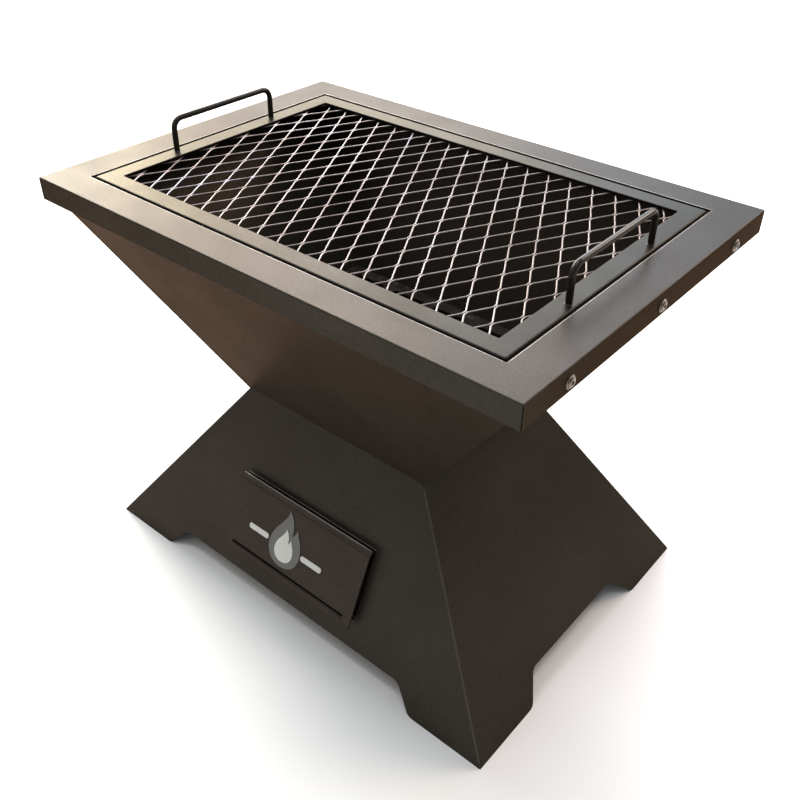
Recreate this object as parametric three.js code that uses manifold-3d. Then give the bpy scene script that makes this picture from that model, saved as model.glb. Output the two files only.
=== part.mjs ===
// Hibachi grill: two folded-steel pyramids joined at a narrow waist, a screwed-on rim, a lift-out
// cooking grate of expanded metal, a lift-out charcoal grate and an ash drawer in the base.
// Millimetres, +Z up, origin on the ground under the middle; -Y is the front, with the drawer.
import * as THREE from 'three';
import { ConvexGeometry } from 'three/addons/geometries/ConvexGeometry.js';
import { mergeGeometries, mergeVertices } from 'three/addons/utils/BufferGeometryUtils.js';
import Module from 'manifold-3d';

const wasm = await Module();
wasm.setup();

// ---- driving dimensions -------------------------------------------------------------------
const GAP = 0.3; // between pieces that touch
const MITRE_GAP = GAP / Math.SQRT2; // offset of each wall from the corner line
const SHEET = 3; // steel sheet of the rim, the walls and the strips

const RIM_LENGTH = 720;
const RIM_DEPTH = 504;
const RIM_TOP = 560;
const RIM_FLANGE = 29; // height of the turned-down edge
const RIM_BEND = 3; // outside radius of its fold
const RIM_BORDER_X = 47; // flat width beside the opening
const RIM_BORDER_Y = 43;
const RIM_SCREW_DROP = 16.75; // screw centres below the rim top
const RIM_SCREW_SPREAD = 176; // outer screws either side of the middle one

const SCREW_HOLE = 3.3; // radius
const SCREW = { head: 7.4, dome: 3.4, socket: 2.1, socketDepth: 2, shank: 3, length: 14 };
const NUT = { across: 10, height: 5 };
const BRACKET_FLOOR = 2.5; // thickness of an angle strip's level leg
const BRACKET_RISE = 19;
const BRACKET_REACH = 20; // width of its level leg

const WAIST_Z = 263.8;
const WAIST_HALF_X = 155.75; // outside of the neck
const WAIST_HALF_Y = 121.8;
const HOPPER_TOP_Z = 533.7;
const HOPPER_FLARE_X = 0.7057; // run per unit of height
const HOPPER_FLARE_Y = 0.4428;
const BASE_HALF_X = 350.1; // outside of the base at the ground
const BASE_HALF_Y = 243.15;

const NOTCH_HEIGHT = 31; // the arch between two feet
const FOOT_X = 114; // foot length along the front and back
const FOOT_Y = 115; // foot length along the sides
const NOTCH_ROUND = 7; // corner easing of the arch
const NOTCH_SLANT = 0.95; // run per unit of height at the arch's two ends

const GRATE_CLEARANCE = 4; // all round, inside the rim opening
const GRATE_BAR = 25;
const LEDGE_REACH = 13; // ledge showing inside the rim opening
const LEDGE_WIDTH = 25;
const MESH_UNDERLAP = 12; // mesh hidden under the frame bars
const MESH_THICKNESS = 3;
const MESH_PITCH_X = 31.8; // short way of the diamond
const MESH_PITCH_Y = 58.15; // long way of the diamond
const MESH_STRAND = 3.2;
const MESH_SELVEDGE = 4; // uncut border of the sheet
const MESH_SHIFT = [-9.2, 17.4]; // a diamond's centre, off the middle of the sheet

const HANDLE_ROD = 8;
const HANDLE_SPAN = 168; // between leg centres
const HANDLE_RISE = 45; // top of the rod above the rim
const HANDLE_BEND = 12;
const HANDLE_X = 299.5;

const CHARCOAL_Z = 330;
const CHARCOAL_PLATE = 3;
const CHARCOAL_SLOT = [54, 8];
const CHARCOAL_SLOTS = [5, 12];
const CHARCOAL_BORDER = 12;

const RING_Z = 265; // neck ring inside the waist
const RING_OPENING = [210, 176];
const RING_ROUND = 8;

const DRAWER_WIDTH = 241;
const DRAWER_TOP = 111.5; // distances down the sloping front, from the waist
const DRAWER_BEND = 118;
const DRAWER_BOTTOM = 225;
const DRAWER_PROUD = 13; // face of the drawer off the wall
const DRAWER_TIP = 8; // back edge of its top lip off the wall
const DRAWER_SHEET = 2.5;
const VENT_LENGTH = 214;
const VENT_HEIGHT = 4;
const VENT_RAISE = 11; // vent centre above the drawer's lower edge

const TRAY_HALF_X = 113;
const TRAY_FLOOR_Z = 76.3;
const TRAY_HEIGHT = 50;
const TRAY_BACK_Y = 95;
const TRAY_SHEET = 2;
const DOORWAY = { halfX: 118.5, low: 66, high: 162.2 }; // cut in the front wall for the tray
const RUNNER = { inX: 99, outX: 121, wallX: 117.5, rise: 80 };

const EMBLEM_SHEET = 0.5;
const EMBLEM_X = -14;
const EMBLEM_LOW = 206; // its lower edge, down the sloping front
const FLAME_HEIGHT = 83;
const INNER_FLAME = { height: 48, raise: 8 };
const EMBLEM_BAR = { length: 38, width: 8, spread: 50, raise: 30 };

// ---- colours ------------------------------------------------------------------------------
const FINISH = {
  body: { color: 0x3a3531, roughness: 0.55, metalness: 0.35 },
  frame: { color: 0x4a4743, roughness: 0.5, metalness: 0.4 },
  mesh: { color: 0x9a9288, roughness: 0.35, metalness: 0.9 },
  handle: { color: 0x1c1b1a, roughness: 0.45, metalness: 0.4 },
  fastener: { color: 0xb5aca0, roughness: 0.3, metalness: 1 },
  inner: { color: 0x2a2725, roughness: 0.75, metalness: 0.3 },
  iron: { color: 0x232120, roughness: 0.85, metalness: 0.4 },
  emblemDark: { color: 0x77777a, roughness: 0.6, metalness: 0 },
  emblemLight: { color: 0xd8d8d4, roughness: 0.5, metalness: 0 },
};

// ---- geometry helpers ---------------------------------------------------------------------
function solidOf(geometry) {
  const bare = geometry.clone();
  bare.deleteAttribute('normal');
  bare.deleteAttribute('uv');
  const merged = mergeVertices(bare, 1e-4);
  return new wasm.Manifold(new wasm.Mesh({
    numProp: 3,
    vertProperties: new Float32Array(merged.attributes.position.array),
    triVerts: new Uint32Array(merged.index.array),
  }));
}

function geometryOf(solid) {
  const mesh = solid.getMesh();
  const geometry = new THREE.BufferGeometry();
  geometry.setAttribute('position', new THREE.BufferAttribute(mesh.vertProperties, 3));
  geometry.setIndex(new THREE.BufferAttribute(mesh.triVerts, 1));
  geometry.computeVertexNormals();
  return geometry;
}

function cut(body, ...tools) {
  return geometryOf(tools.reduce((rest, tool) => rest.subtract(solidOf(tool)), solidOf(body)));
}

function box(low, high) {
  const size = high.map((value, i) => value - low[i]);
  const middle = high.map((value, i) => (value + low[i]) / 2);
  return new THREE.BoxGeometry(...size).translate(...middle);
}

// A closed outline whose corners [x, y, ease] are rounded off, starting `ease` before the corner.
function outline(corners) {
  const shape = new THREE.Shape();
  corners.forEach(([x, y, ease = 0], i) => {
    const [px, py] = corners.at(i - 1);
    const [nx, ny] = corners[(i + 1) % corners.length];
    const towards = (tx, ty) => {
      const reach = ease / Math.hypot(tx - x, ty - y);
      return [x + (tx - x) * reach, y + (ty - y) * reach];
    };
    const start = towards(px, py);
    if (i === 0) shape.moveTo(...start);
    else shape.lineTo(...start);
    if (ease > 0) shape.quadraticCurveTo(x, y, ...towards(nx, ny));
  });
  shape.closePath();
  return shape;
}

function rectangle(halfX, halfY, ease = 0) {
  return outline([
    [-halfX, -halfY, ease], [halfX, -halfY, ease], [halfX, halfY, ease], [-halfX, halfY, ease],
  ]);
}

function extrude(shape, depth, curveSegments = 4) {
  return new THREE.ExtrudeGeometry(shape, { depth, bevelEnabled: false, curveSegments });
}

// A flat shape drawn in x and y, standing from height `low` to `high`.
function slab(shape, low, high, curveSegments) {
  return extrude(shape, high - low, curveSegments).translate(0, 0, low);
}

// A profile drawn in y (first) and z (second), running along x.
function alongX(shape, fromX, toX, curveSegments) {
  const place = new THREE.Matrix4().makeBasis(
    new THREE.Vector3(0, 1, 0), new THREE.Vector3(0, 0, 1), new THREE.Vector3(1, 0, 0));
  place.setPosition(fromX, 0, 0);
  return extrude(shape, toX - fromX, curveSegments).applyMatrix4(place);
}

function rodAlongX(radius, fromX, toX, y, z, sides = 12) {
  return new THREE.CylinderGeometry(radius, radius, toX - fromX, sides)
    .rotateZ(Math.PI / 2).translate((fromX + toX) / 2, y, z);
}

// ---- the sloping front wall ---------------------------------------------------------------
const BASE_FLARE_X = (BASE_HALF_X - WAIST_HALF_X) / WAIST_Z;
const BASE_FLARE_Y = (BASE_HALF_Y - WAIST_HALF_Y) / WAIST_Z;
const FRONT_ANGLE = Math.atan(BASE_FLARE_Y);

// Basis of the front wall: x across, then down the slope from the waist, then out of the wall.
function frontWallBasis() {
  const down = new THREE.Vector3(0, -Math.sin(FRONT_ANGLE), -Math.cos(FRONT_ANGLE));
  const out = new THREE.Vector3(0, -Math.cos(FRONT_ANGLE), Math.sin(FRONT_ANGLE));
  const place = new THREE.Matrix4().makeBasis(new THREE.Vector3(-1, 0, 0), down, out);
  return place.setPosition(0, -WAIST_HALF_Y, WAIST_Z);
}

function frontWallPoint(down, out) {
  const point = new THREE.Vector3(0, down, out).applyMatrix4(frontWallBasis());
  return [point.y, point.z];
}

// ---- pyramid walls ------------------------------------------------------------------------
// The outside of a pyramid at height z, and the wall's thickness measured level.
function level(z, flareX, flareY) {
  const rise = Math.abs(z - WAIST_Z);
  return {
    z,
    x: WAIST_HALF_X + rise * flareX,
    y: WAIST_HALF_Y + rise * flareY,
    wallX: SHEET * Math.hypot(1, flareX),
    wallY: SHEET * Math.hypot(1, flareY),
  };
}

// A wall facing -Y with mitred ends; turned half round, it is the back wall.
function frontWall(lower, upper) {
  const corners = [lower, upper].flatMap((at) => [-1, 1].flatMap((side) => [
    new THREE.Vector3(side * (at.x - MITRE_GAP), -at.y, at.z),
    new THREE.Vector3(side * (at.x - at.wallX - MITRE_GAP), at.wallY - at.y, at.z),
  ]));
  return new ConvexGeometry(corners);
}

// A wall facing +X with mitred ends; turned half round, it is the left wall.
function rightWall(lower, upper) {
  const corners = [lower, upper].flatMap((at) => [-1, 1].flatMap((side) => [
    new THREE.Vector3(at.x, side * (at.y - MITRE_GAP), at.z),
    new THREE.Vector3(at.x - at.wallX, side * (at.y - at.wallY - MITRE_GAP), at.z),
  ]));
  return new ConvexGeometry(corners);
}

function halfTurn(geometry) {
  return geometry.clone().rotateZ(Math.PI);
}

function hopperWalls() {
  const lower = level(WAIST_Z + GAP / 2, HOPPER_FLARE_X, HOPPER_FLARE_Y);
  const upper = level(HOPPER_TOP_Z, HOPPER_FLARE_X, HOPPER_FLARE_Y);
  return { front: frontWall(lower, upper), right: rightWall(lower, upper) };
}

// The arch between two feet, as a flat shape standing on the ground.
function notchShape(halfWidth) {
  const rim = halfWidth - NOTCH_HEIGHT * NOTCH_SLANT;
  return outline([
    [-halfWidth - NOTCH_ROUND, -1],
    [-halfWidth - NOTCH_ROUND, 0],
    [-halfWidth, 0, NOTCH_ROUND - 0.01],
    [-rim, NOTCH_HEIGHT, NOTCH_ROUND],
    [rim, NOTCH_HEIGHT, NOTCH_ROUND],
    [halfWidth, 0, NOTCH_ROUND - 0.01],
    [halfWidth + NOTCH_ROUND, 0],
    [halfWidth + NOTCH_ROUND, -1],
  ]);
}

function baseWalls() {
  const lower = level(0, BASE_FLARE_X, BASE_FLARE_Y);
  const upper = level(WAIST_Z - GAP / 2, BASE_FLARE_X, BASE_FLARE_Y);
  const reach = 2 * BASE_HALF_X;
  const frontNotch = extrude(notchShape(BASE_HALF_X - FOOT_X), reach).rotateX(Math.PI / 2);
  const sideNotch = alongX(notchShape(BASE_HALF_Y - FOOT_Y), 0, reach);
  const doorway = box([-DOORWAY.halfX, -reach, DOORWAY.low], [DOORWAY.halfX, 0, DOORWAY.high]);
  const plain = cut(frontWall(lower, upper), frontNotch);
  return {
    front: cut(plain, doorway),
    back: halfTurn(plain),
    right: cut(rightWall(lower, upper), sideNotch),
  };
}

function waistRing() {
  const at = level(RING_Z, HOPPER_FLARE_X, HOPPER_FLARE_Y);
  const outer = rectangle(at.x - at.wallX - GAP, at.y - at.wallY - GAP);
  outer.holes.push(rectangle(RING_OPENING[0] / 2, RING_OPENING[1] / 2, RING_ROUND));
  return slab(outer, RING_Z, RING_Z + SHEET);
}

// ---- rim and its supports -----------------------------------------------------------------
const OPENING_HALF_X = RIM_LENGTH / 2 - RIM_BORDER_X;
const OPENING_HALF_Y = RIM_DEPTH / 2 - RIM_BORDER_Y;
const SCREW_Z = RIM_TOP - RIM_SCREW_DROP;
const SCREW_YS = [-RIM_SCREW_SPREAD, 0, RIM_SCREW_SPREAD];
const BRACKET_LOW = HOPPER_TOP_Z + GAP;
const LEDGE_TOP = RIM_TOP - SHEET - GAP;

function rimFrame() {
  const bottom = RIM_TOP - RIM_FLANGE;
  const skirt = 10; // trimmed off below, with the lower rounding
  const halfX = RIM_LENGTH / 2;
  const halfY = RIM_DEPTH / 2;
  const outer = new THREE.ExtrudeGeometry(rectangle(halfX - RIM_BEND, halfY - RIM_BEND, 0.5), {
    depth: RIM_FLANGE + skirt - 2 * RIM_BEND,
    bevelThickness: RIM_BEND,
    bevelSize: RIM_BEND,
    bevelSegments: 5,
    curveSegments: 2,
  }).translate(0, 0, bottom - skirt + RIM_BEND);
  const hollow = slab(rectangle(halfX - SHEET, halfY - SHEET), bottom - 2 * skirt, RIM_TOP - SHEET);
  const trim = box([-RIM_LENGTH, -RIM_DEPTH, bottom - 2 * skirt], [RIM_LENGTH, RIM_DEPTH, bottom]);
  const opening = slab(rectangle(OPENING_HALF_X, OPENING_HALF_Y, 2), bottom, RIM_TOP + 1);
  const holes = SCREW_YS.map((y) => rodAlongX(SCREW_HOLE, -RIM_LENGTH, RIM_LENGTH, y, SCREW_Z));
  return cut(outer, hollow, trim, opening, ...holes);
}

// The angle strip inside a short side of the rim, lying on the hopper's top edge.
function endBracket() {
  const face = RIM_LENGTH / 2 - SHEET - GAP;
  const halfY = RIM_DEPTH / 2 - SHEET - BRACKET_REACH - 2 * GAP;
  const angle = box([face - BRACKET_REACH, -halfY, BRACKET_LOW],
    [face, halfY, BRACKET_LOW + BRACKET_RISE]);
  const hollow = box([face - 2 * BRACKET_REACH, -halfY - 1, BRACKET_LOW + BRACKET_FLOOR],
    [face - SHEET, halfY + 1, BRACKET_LOW + 2 * BRACKET_RISE]);
  const holes = SCREW_YS.map((y) => rodAlongX(SCREW_HOLE, 0, RIM_LENGTH, y, SCREW_Z));
  return cut(angle, hollow, ...holes);
}

// The same strip inside a long side, without screws.
function longBracket() {
  const face = RIM_DEPTH / 2 - SHEET - GAP;
  const inner = face - BRACKET_REACH;
  const top = BRACKET_LOW + BRACKET_RISE;
  const floor = BRACKET_LOW + BRACKET_FLOOR;
  const profile = outline([
    [inner, BRACKET_LOW], [face, BRACKET_LOW], [face, top],
    [face - SHEET, top], [face - SHEET, floor], [inner, floor],
  ]);
  const halfX = RIM_LENGTH / 2 - SHEET - GAP;
  return alongX(profile, -halfX, halfX);
}

function longLedge() {
  const inner = OPENING_HALF_Y - LEDGE_REACH;
  const halfX = OPENING_HALF_X - LEDGE_REACH + LEDGE_WIDTH;
  return box([-halfX, inner, LEDGE_TOP - SHEET], [halfX, inner + LEDGE_WIDTH, LEDGE_TOP]);
}

function endLedge() {
  const inner = OPENING_HALF_X - LEDGE_REACH;
  const halfY = OPENING_HALF_Y - LEDGE_REACH - GAP;
  return box([inner, -halfY, LEDGE_TOP - SHEET], [inner + LEDGE_WIDTH, halfY, LEDGE_TOP]);
}

// Flanged button-head screw lying along +X, its head's underside at x = 0.
function rimScrew() {
  const { head, dome, socket, socketDepth, shank, length } = SCREW;
  const flange = 0.9;
  const ease = 0.5;
  const profile = [
    [0, dome - socketDepth], [socket, dome - socketDepth], [socket + 0.2, dome],
    [head * 0.49, dome * 0.91], [head * 0.73, dome * 0.62], [head * 0.84, flange + 0.2],
    [head, flange], [head, 0], [shank, 0], [shank, ease - length], [shank - ease, -length],
    [0, -length],
  ].map(([radius, along]) => new THREE.Vector2(radius, along));
  return new THREE.LatheGeometry(profile.reverse(), 12).rotateZ(-Math.PI / 2);
}

// Hexagon nut lying along X, its seating face at x = 0 and its body towards -X.
function rimNut() {
  const body = new THREE.Shape();
  const corner = NUT.across / Math.sqrt(3);
  for (let i = 0; i < 6; i += 1) {
    const angle = (i * Math.PI) / 3;
    const point = [corner * Math.cos(angle), corner * Math.sin(angle)];
    if (i === 0) body.moveTo(...point);
    else body.lineTo(...point);
  }
  body.closePath();
  const bore = new THREE.Path();
  bore.absarc(0, 0, SCREW_HOLE, 0, 2 * Math.PI, true);
  body.holes.push(bore);
  return alongX(body, -NUT.height, 0, 6);
}

// ---- cooking grate ------------------------------------------------------------------------
const GRATE_HALF_X = OPENING_HALF_X - GRATE_CLEARANCE;
const GRATE_HALF_Y = OPENING_HALF_Y - GRATE_CLEARANCE;

function grateFrame() {
  const shape = rectangle(GRATE_HALF_X, GRATE_HALF_Y, 2);
  shape.holes.push(rectangle(GRATE_HALF_X - GRATE_BAR, GRATE_HALF_Y - GRATE_BAR, 1));
  return slab(shape, RIM_TOP - SHEET, RIM_TOP, 2);
}

// A sheet slit into diamonds in alternate rows, inside an uncut border.
function cookingMesh() {
  const halfX = GRATE_HALF_X - GRATE_BAR + MESH_UNDERLAP;
  const halfY = GRATE_HALF_Y - GRATE_BAR + MESH_UNDERLAP;
  const top = RIM_TOP - SHEET - GAP;
  const low = top - MESH_THICKNESS;
  const run = MESH_PITCH_X / 2;
  const rise = MESH_PITCH_Y / 2;
  const spacing = (2 * run * rise) / Math.hypot(run, rise);
  const scale = (spacing - MESH_STRAND) / spacing;
  const diamond = slab(outline([
    [-run * scale, 0], [0, -rise * scale], [run * scale, 0], [0, rise * scale],
  ]), low - 1, top + 1);
  const diamonds = [];
  const columns = Math.ceil(halfX / run);
  const rows = Math.ceil(halfY / rise);
  for (let row = -rows; row <= rows; row += 1) {
    for (let column = -columns; column <= columns; column += 1) {
      if ((row + column) % 2 !== 0) continue;
      diamonds.push(diamond.clone()
        .translate(column * run + MESH_SHIFT[0], row * rise + MESH_SHIFT[1], 0));
    }
  }
  const field = slab(rectangle(halfX - MESH_SELVEDGE, halfY - MESH_SELVEDGE), low - 2, top + 2);
  const holes = solidOf(mergeGeometries(diamonds)).intersect(solidOf(field));
  return geometryOf(solidOf(slab(rectangle(halfX, halfY), low, top)).subtract(holes));
}

// A bail handle of round rod standing on an end bar of the grate frame.
function grateHandle() {
  const half = HANDLE_SPAN / 2;
  const low = RIM_TOP + GAP;
  const high = RIM_TOP + HANDLE_RISE - HANDLE_ROD / 2;
  const at = (y, z) => new THREE.Vector3(0, y, z);
  const path = new THREE.CurvePath();
  path.add(new THREE.LineCurve3(at(-half, low), at(-half, high - HANDLE_BEND)));
  path.add(new THREE.QuadraticBezierCurve3(
    at(-half, high - HANDLE_BEND), at(-half, high), at(HANDLE_BEND - half, high)));
  path.add(new THREE.LineCurve3(at(HANDLE_BEND - half, high), at(half - HANDLE_BEND, high)));
  path.add(new THREE.QuadraticBezierCurve3(
    at(half - HANDLE_BEND, high), at(half, high), at(half, high - HANDLE_BEND)));
  path.add(new THREE.LineCurve3(at(half, high - HANDLE_BEND), at(half, low)));
  const section = new THREE.Shape();
  section.absarc(0, 0, HANDLE_ROD / 2, 0, 2 * Math.PI);
  return new THREE.ExtrudeGeometry(section, { steps: 36, curveSegments: 5, extrudePath: path });
}

// ---- charcoal grate -----------------------------------------------------------------------
function charcoalGrate() {
  const at = level(CHARCOAL_Z, HOPPER_FLARE_X, HOPPER_FLARE_Y);
  const halfX = at.x - at.wallX - GAP;
  const halfY = at.y - at.wallY - GAP;
  const top = CHARCOAL_Z + CHARCOAL_PLATE;
  const [slotX, slotY] = CHARCOAL_SLOT.map((size) => size / 2);
  const [columns, rows] = CHARCOAL_SLOTS;
  const pitchX = (2 * (halfX - CHARCOAL_BORDER)) / columns;
  const pitchY = (2 * (halfY - CHARCOAL_BORDER)) / rows;
  const slots = [];
  for (let row = 0; row < rows; row += 1) {
    for (let column = 0; column < columns; column += 1) {
      slots.push(box([-slotX, -slotY, CHARCOAL_Z - 1], [slotX, slotY, top + 1])
        .translate((column - (columns - 1) / 2) * pitchX, (row - (rows - 1) / 2) * pitchY, 0));
    }
  }
  return cut(slab(rectangle(halfX, halfY, 3), CHARCOAL_Z, top), mergeGeometries(slots));
}

// ---- ash drawer ---------------------------------------------------------------------------
// The drawer's face: a plate standing off the wall, its top folded back, with a long air vent.
function drawerFront() {
  const lean = Math.atan2(DRAWER_PROUD - DRAWER_TIP, DRAWER_BEND - DRAWER_TOP);
  const inner = DRAWER_PROUD - DRAWER_SHEET;
  const tipInner = DRAWER_TOP + DRAWER_SHEET / Math.sin(lean);
  const bendInner = tipInner + (inner - DRAWER_TIP) / Math.tan(lean);
  const profile = outline([
    frontWallPoint(DRAWER_BOTTOM, DRAWER_PROUD),
    frontWallPoint(DRAWER_BOTTOM, inner),
    frontWallPoint(bendInner, inner),
    frontWallPoint(tipInner, DRAWER_TIP),
    frontWallPoint(DRAWER_TOP, DRAWER_TIP),
    [...frontWallPoint(DRAWER_BEND, DRAWER_PROUD), 2],
  ]);
  const plate = alongX(profile, -DRAWER_WIDTH / 2, DRAWER_WIDTH / 2, 3);
  const through = 4 * DRAWER_PROUD;
  const slot = rectangle(VENT_LENGTH / 2, VENT_HEIGHT / 2, VENT_HEIGHT / 2 - 0.01);
  const vent = extrude(slot, through, 3)
    .translate(0, DRAWER_BOTTOM - VENT_RAISE, -through / 2).applyMatrix4(frontWallBasis());
  return cut(plate, vent);
}

function ashTray() {
  const front = (z, inset) => {
    const wall = WAIST_HALF_Y + (WAIST_Z - z) * BASE_FLARE_Y;
    const off = (DRAWER_PROUD - DRAWER_SHEET - GAP - inset) / Math.cos(FRONT_ANGLE);
    return -wall - off;
  };
  const top = TRAY_FLOOR_Z + TRAY_HEIGHT;
  const floor = TRAY_FLOOR_Z + TRAY_SHEET;
  const side = (inset, low, high) => outline([
    [front(low, inset), low], [TRAY_BACK_Y - inset, low],
    [TRAY_BACK_Y - inset, high], [front(high, inset), high],
  ]);
  return cut(
    alongX(side(0, TRAY_FLOOR_Z, top), -TRAY_HALF_X, TRAY_HALF_X),
    alongX(side(TRAY_SHEET, floor, top + 5), TRAY_SHEET - TRAY_HALF_X, TRAY_HALF_X - TRAY_SHEET),
  );
}

// An angle under one side of the tray, from the front wall to the back wall. Its high upright leg
// keeps falling ash in the tray.
function drawerRunner() {
  const top = TRAY_FLOOR_Z - GAP;
  const low = top - SHEET;
  const inside = (z) => WAIST_HALF_Y + (WAIST_Z - z) * BASE_FLARE_Y
    - SHEET * Math.hypot(1, BASE_FLARE_Y) - GAP;
  const high = top + RUNNER.rise;
  const side = outline([
    [-inside(low), low], [inside(low), low], [inside(high), high], [-inside(high), high],
  ]);
  const hollow = box([RUNNER.inX - 1, -BASE_HALF_Y, top],
    [RUNNER.wallX, BASE_HALF_Y, high + 1]);
  return cut(alongX(side, RUNNER.inX, RUNNER.outX), hollow);
}

// ---- emblem on the drawer -----------------------------------------------------------------
// A plain flame, `size` high, standing on the origin, with its tip leaning a little aside.
function flameShape(size) {
  const shape = new THREE.Shape();
  const at = (x, y) => [x * size, y * size];
  shape.moveTo(...at(0, 0));
  shape.bezierCurveTo(...at(0.3, 0), ...at(0.42, 0.24), ...at(0.32, 0.5));
  shape.bezierCurveTo(...at(0.29, 0.6), ...at(0.22, 0.66), ...at(0.19, 0.76));
  shape.bezierCurveTo(...at(0.15, 0.66), ...at(0.13, 0.62), ...at(0.1, 0.6));
  shape.bezierCurveTo(...at(0.12, 0.78), ...at(0.06, 0.9), ...at(-0.06, 1));
  shape.bezierCurveTo(...at(-0.04, 0.8), ...at(-0.34, 0.62), ...at(-0.34, 0.34));
  shape.bezierCurveTo(...at(-0.34, 0.12), ...at(-0.18, 0), ...at(0, 0));
  return shape;
}

// Lays a flat shape on the drawer's face, its origin at x and `raise` above the emblem's foot.
function onDrawer(shape, x, raise, lift) {
  const turn = new THREE.Matrix4().makeRotationZ(Math.PI);
  const place = frontWallBasis().multiply(
    new THREE.Matrix4().makeTranslation(-x, EMBLEM_LOW - raise, DRAWER_PROUD + lift));
  return extrude(shape, EMBLEM_SHEET, 6).applyMatrix4(turn).applyMatrix4(place);
}

// ---- assembly -----------------------------------------------------------------------------
const grill = new THREE.Group();

function add(name, geometry, finish, parent = grill) {
  const mesh = new THREE.Mesh(geometry, new THREE.MeshStandardMaterial(FINISH[finish]));
  mesh.name = name;
  parent.add(mesh);
  return mesh;
}

function addRim() {
  add('rim_frame', rimFrame(), 'body');
  const pairs = [
    ['rim_bracket_right', 'rim_bracket_left', endBracket()],
    ['rim_bracket_back', 'rim_bracket_front', longBracket()],
    ['grate_ledge_right', 'grate_ledge_left', endLedge()],
    ['grate_ledge_back', 'grate_ledge_front', longLedge()],
  ];
  for (const [name, opposite, geometry] of pairs) {
    add(name, geometry, 'inner');
    add(opposite, halfTurn(geometry), 'inner');
  }
  for (const side of [1, -1]) {
    const label = side > 0 ? 'right' : 'left';
    const end = new THREE.Group();
    end.rotation.z = side > 0 ? 0 : Math.PI;
    grill.add(end);
    SCREW_YS.forEach((y, i) => {
      const screw = add(`rim_screw_${label}_${i + 1}`, rimScrew(), 'fastener', end);
      screw.position.set(RIM_LENGTH / 2 + GAP, y * side, SCREW_Z);
      const nut = add(`rim_nut_${label}_${i + 1}`, rimNut(), 'fastener', end);
      nut.position.set(RIM_LENGTH / 2 - 2 * SHEET - 2 * GAP, y * side, SCREW_Z);
    });
  }
}

function addWalls() {
  const hopper = hopperWalls();
  add('hopper_front_plate', hopper.front, 'body');
  add('hopper_back_plate', halfTurn(hopper.front), 'body');
  add('hopper_right_plate', hopper.right, 'body');
  add('hopper_left_plate', halfTurn(hopper.right), 'body');
  const base = baseWalls();
  add('base_front_plate', base.front, 'body');
  add('base_back_plate', base.back, 'body');
  add('base_right_plate', base.right, 'body');
  add('base_left_plate', halfTurn(base.right), 'body');
  add('waist_ring', waistRing(), 'inner');
}

function addGrates() {
  add('grate_frame', grateFrame(), 'frame');
  add('cooking_mesh', cookingMesh(), 'mesh');
  add('grate_handle_right', grateHandle(), 'handle').position.x = HANDLE_X;
  add('grate_handle_left', grateHandle(), 'handle').position.x = -HANDLE_X;
  add('charcoal_grate_plate', charcoalGrate(), 'iron');
}

function addDrawer() {
  add('drawer_front', drawerFront(), 'body');
  add('ash_tray', ashTray(), 'inner');
  const runner = drawerRunner();
  add('drawer_runner_right', runner, 'inner');
  add('drawer_runner_left', halfTurn(runner), 'inner');
  addEmblem();
}

function addEmblem() {
  const over = GAP + EMBLEM_SHEET + 0.1;
  add('emblem_flame_outer', onDrawer(flameShape(FLAME_HEIGHT), EMBLEM_X, 0, GAP), 'emblemDark');
  add('emblem_flame_inner',
    onDrawer(flameShape(INNER_FLAME.height), EMBLEM_X, INNER_FLAME.raise, over), 'emblemLight');
  const bar = rectangle(EMBLEM_BAR.length / 2, EMBLEM_BAR.width / 2, EMBLEM_BAR.width / 2 - 0.1);
  for (const side of [1, -1]) {
    const label = side > 0 ? 'right' : 'left';
    const x = EMBLEM_X + side * EMBLEM_BAR.spread;
    add(`emblem_bar_${label}`, onDrawer(bar, x, EMBLEM_BAR.raise, GAP), 'emblemLight');
  }
}

addRim();
addWalls();
addGrates();
addDrawer();

export default grill;
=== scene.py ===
"""Hibachi grill: the finished look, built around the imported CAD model.

Metres, +Z up, origin on the ground under the middle, -Y is the front with the ash drawer.
"""
import math

import bmesh
import bpy
from mathutils import Matrix, Vector, noise


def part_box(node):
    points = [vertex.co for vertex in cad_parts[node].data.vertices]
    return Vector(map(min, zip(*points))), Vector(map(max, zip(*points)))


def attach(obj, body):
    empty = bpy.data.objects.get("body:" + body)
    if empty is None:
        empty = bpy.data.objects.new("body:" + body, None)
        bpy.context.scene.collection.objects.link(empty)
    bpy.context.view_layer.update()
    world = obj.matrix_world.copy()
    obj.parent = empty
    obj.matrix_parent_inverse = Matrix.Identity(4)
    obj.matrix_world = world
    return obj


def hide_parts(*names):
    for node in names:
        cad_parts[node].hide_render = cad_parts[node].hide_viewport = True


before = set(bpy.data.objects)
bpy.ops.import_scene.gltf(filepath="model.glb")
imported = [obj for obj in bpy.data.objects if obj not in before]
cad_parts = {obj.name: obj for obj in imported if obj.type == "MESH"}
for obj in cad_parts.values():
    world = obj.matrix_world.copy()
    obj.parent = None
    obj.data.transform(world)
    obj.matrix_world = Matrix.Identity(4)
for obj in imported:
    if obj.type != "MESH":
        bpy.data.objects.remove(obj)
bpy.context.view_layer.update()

MM = 0.001

STAND, GRATE, DRAWER = "stand", "cooking_grate", "ash_drawer"
QUADRANTS = ((-1, -1), (1, -1), (1, 1), (-1, 1))
ACROSS, UP = Vector((1, 0, 0)), Vector((0, 0, 1))

# ---- sizes: the frame's where it has them, the others measured or chosen ----------------------
RIM_LOW, RIM_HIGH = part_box("rim_frame")
GRATE_LOW, GRATE_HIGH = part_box("grate_frame")
RIM_TOP = RIM_HIGH.z
SHEET = GRATE_HIGH.z - GRATE_LOW.z  # thickness of the rim and the grate's frame
SEAM = 4 * MM  # between the grate's frame and the rim
GRATE_BAR = 25 * MM  # width of the grate frame's bars
FOLD = 1.8 * MM  # outside radius of the rim's fold
RIM_CORNER = 2 * MM  # radius of its upright corners
TOUCH = 0.05 * MM  # points closer than this count as level


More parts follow.
